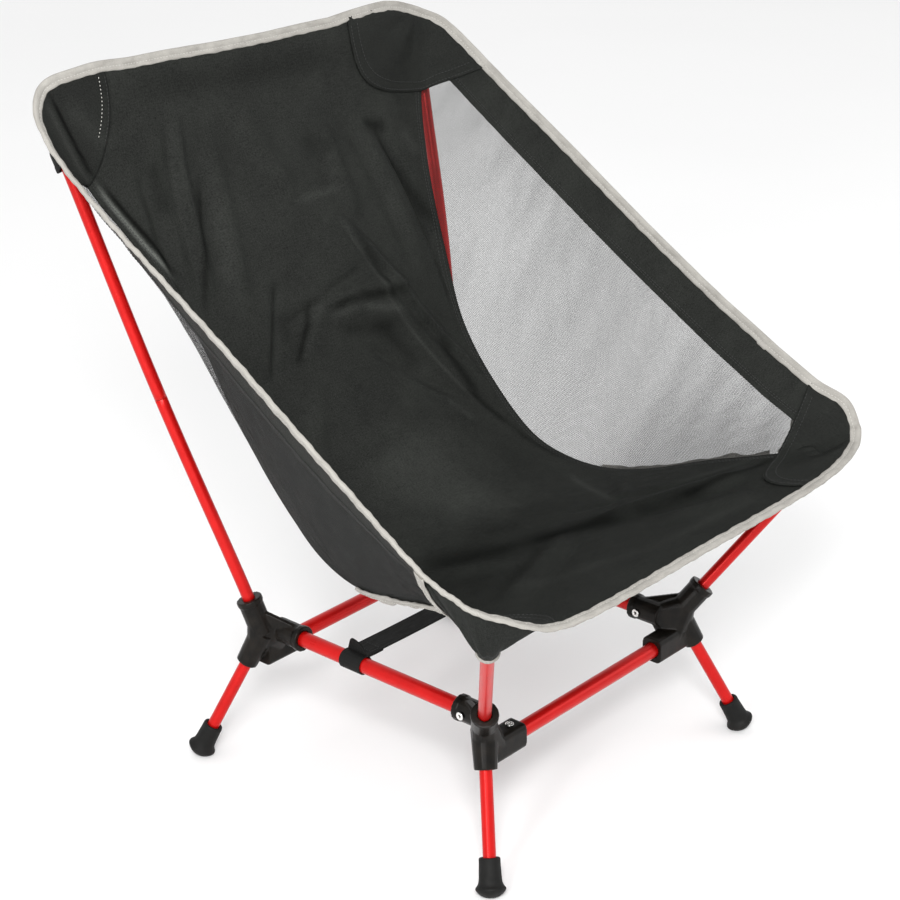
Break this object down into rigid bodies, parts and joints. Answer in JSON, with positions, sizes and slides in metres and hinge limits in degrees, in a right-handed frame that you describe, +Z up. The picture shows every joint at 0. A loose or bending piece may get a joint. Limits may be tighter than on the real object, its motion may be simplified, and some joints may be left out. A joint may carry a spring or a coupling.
{
  "type": "ultralight backpacking chair",
  "caption": "Low packable camp chair: a fabric bucket sling with mesh sides hung from the tips of shock-corded poles on a small four-hub base.",
  "frame": {"origin": "on the ground under the middle of the whole chair's footprint box, 4 mm behind the centre of the base", "axes": "+Z up, the front of the seat faces -Y, +X across the chair"},
  "size_m": [0.5486, 0.5408, 0.6471],
  "materials": {
    "anodised_tube": "red anodised, satin gloss",
    "bare_aluminium": "drawn, uncoated",
    "hub_nylon": "glass-filled nylon, fine moulded texture",
    "cap_nylon": "smooth moulded nylon",
    "foot_rubber": "matte moulded rubber",
    "rivet_steel": "plated, polished by forming",
    "shock_cord": "braided elastic cord",
    "strap_webbing": "woven polyester webbing",
    "sling_fabric": "plain-woven charcoal polyester",
    "side_mesh": "open knitted polyester mesh",
    "binding_tape": "folded light grey polyester tape"
  },
  "bodies": {
    "frame": {"hub_front_left": "hub_nylon", "hub_front_right": "hub_nylon", "hub_back_left": "hub_nylon", "hub_back_right": "hub_nylon", "bar_front": "anodised_tube", "bar_back": "anodised_tube", "bar_left": "anodised_tube", "bar_right": "anodised_tube", "rivet_front": "rivet_steel", "rivet_back": "rivet_steel", "rivet_left": "rivet_steel", "rivet_right": "rivet_steel", "shock_cord_front_left": "shock_cord", "shock_cord_front_right": "shock_cord", "shock_cord_back_left": "shock_cord", "shock_cord_back_right": "shock_cord", "base_strap": "strap_webbing"},
    "leg_front_left": {"leg_front_left": "anodised_tube", "foot_front_left": "foot_rubber"},
    "leg_front_right": {"leg_front_right": "anodised_tube", "foot_front_right": "foot_rubber"},
    "leg_back_left": {"leg_back_left": "anodised_tube", "foot_back_left": "foot_rubber"},
    "leg_back_right": {"leg_back_right": "anodised_tube", "foot_back_right": "foot_rubber"},
    "upright_front_left": {"upright_front_left": "anodised_tube", "tip_cap_front_left": "cap_nylon"},
    "upright_front_right": {"upright_front_right": "anodised_tube", "tip_cap_front_right": "cap_nylon"},
    "upright_back_left_lower": {"upright_back_left_lower": "anodised_tube", "ferrule_back_left": "bare_aluminium"},
    "upright_back_left_upper": {"upright_back_left_upper": "anodised_tube", "tip_cap_back_left": "cap_nylon"},
    "upright_back_right_lower": {"upright_back_right_lower": "anodised_tube", "ferrule_back_right": "bare_aluminium"},
    "upright_back_right_upper": {"upright_back_right_upper": "anodised_tube", "tip_cap_back_right": "cap_nylon"},
    "sling": {"seat_panel": "sling_fabric", "edge_binding": "binding_tape", "side_mesh_left": "side_mesh", "side_mesh_right": "side_mesh", "side_band_left": "sling_fabric", "side_band_right": "sling_fabric", "seam_tape_left": "binding_tape", "seam_tape_right": "binding_tape", "corner_patch_back_left": "sling_fabric", "corner_patch_back_right": "sling_fabric", "corner_patch_front_left": "sling_fabric", "corner_patch_front_right": "sling_fabric", "pocket_front_left": "sling_fabric", "pocket_front_right": "sling_fabric", "pocket_back_left": "sling_fabric", "pocket_back_right": "sling_fabric"}
  },
  "joints": [
    {"name": "leg_front_left_pull", "type": "slide", "parent": "frame", "child": "leg_front_left", "axis": [-0.3299, -0.3299, -0.8845], "range_m": [0, 0.028], "stiffness_N_per_m": 200, "springref_m": -0.05},
    {"name": "leg_front_right_pull", "type": "slide", "parent": "frame", "child": "leg_front_right", "axis": [0.3299, -0.3299, -0.8845], "range_m": [0, 0.028], "stiffness_N_per_m": 200, "springref_m": -0.05},
    {"name": "leg_back_left_pull", "type": "slide", "parent": "frame", "child": "leg_back_left", "axis": [-0.3299, 0.3299, -0.8845], "range_m": [0, 0.028], "stiffness_N_per_m": 200, "springref_m": -0.05},
    {"name": "leg_back_right_pull", "type": "slide", "parent": "frame", "child": "leg_back_right", "axis": [0.3299, 0.3299, -0.8845], "range_m": [0, 0.028], "stiffness_N_per_m": 200, "springref_m": -0.05},
    {"name": "sling_lift", "type": "slide", "parent": "frame", "child": "sling", "axis": [0, 0, 1], "range_m": [0, 0.4], "deforming": ["pocket_front_left", "pocket_front_right", "pocket_back_left", "pocket_back_right"]},
    {"name": "upright_front_left_pull", "type": "slide", "parent": "frame", "child": "upright_front_left", "axis": [-0.4811, -0.4451, 0.7553], "range_m": [0, 0.028]},
    {"name": "upright_front_right_pull", "type": "slide", "parent": "frame", "child": "upright_front_right", "axis": [0.4811, -0.4451, 0.7553], "range_m": [0, 0.028]},
    {"name": "upright_back_left_pull", "type": "slide", "parent": "frame", "child": "upright_back_left_lower", "axis": [-0.1838, 0.257, 0.9488], "range_m": [0, 0.028]},
    {"name": "upright_back_left_ferrule_pull", "type": "slide", "parent": "upright_back_left_lower", "child": "upright_back_left_upper", "axis": [-0.1838, 0.257, 0.9488], "range_m": [0, 0.03]},
    {"name": "upright_back_right_pull", "type": "slide", "parent": "frame", "child": "upright_back_right_lower", "axis": [0.1838, 0.257, 0.9488], "range_m": [0, 0.028]},
    {"name": "upright_back_right_ferrule_pull", "type": "slide", "parent": "upright_back_right_lower", "child": "upright_back_right_upper", "axis": [0.1838, 0.257, 0.9488], "range_m": [0, 0.03]}
  ],
  "couplings": [
    {"joint": "upright_front_left_pull", "follows": "sling_lift", "ratio": 0.07},
    {"joint": "upright_front_right_pull", "follows": "sling_lift", "ratio": 0.07},
    {"joint": "upright_back_left_pull", "follows": "sling_lift", "ratio": 0.07},
    {"joint": "upright_back_left_ferrule_pull", "follows": "sling_lift", "ratio": 0.07},
    {"joint": "upright_back_right_pull", "follows": "sling_lift", "ratio": 0.07},
    {"joint": "upright_back_right_ferrule_pull", "follows": "sling_lift", "ratio": 0.07}
  ]
}
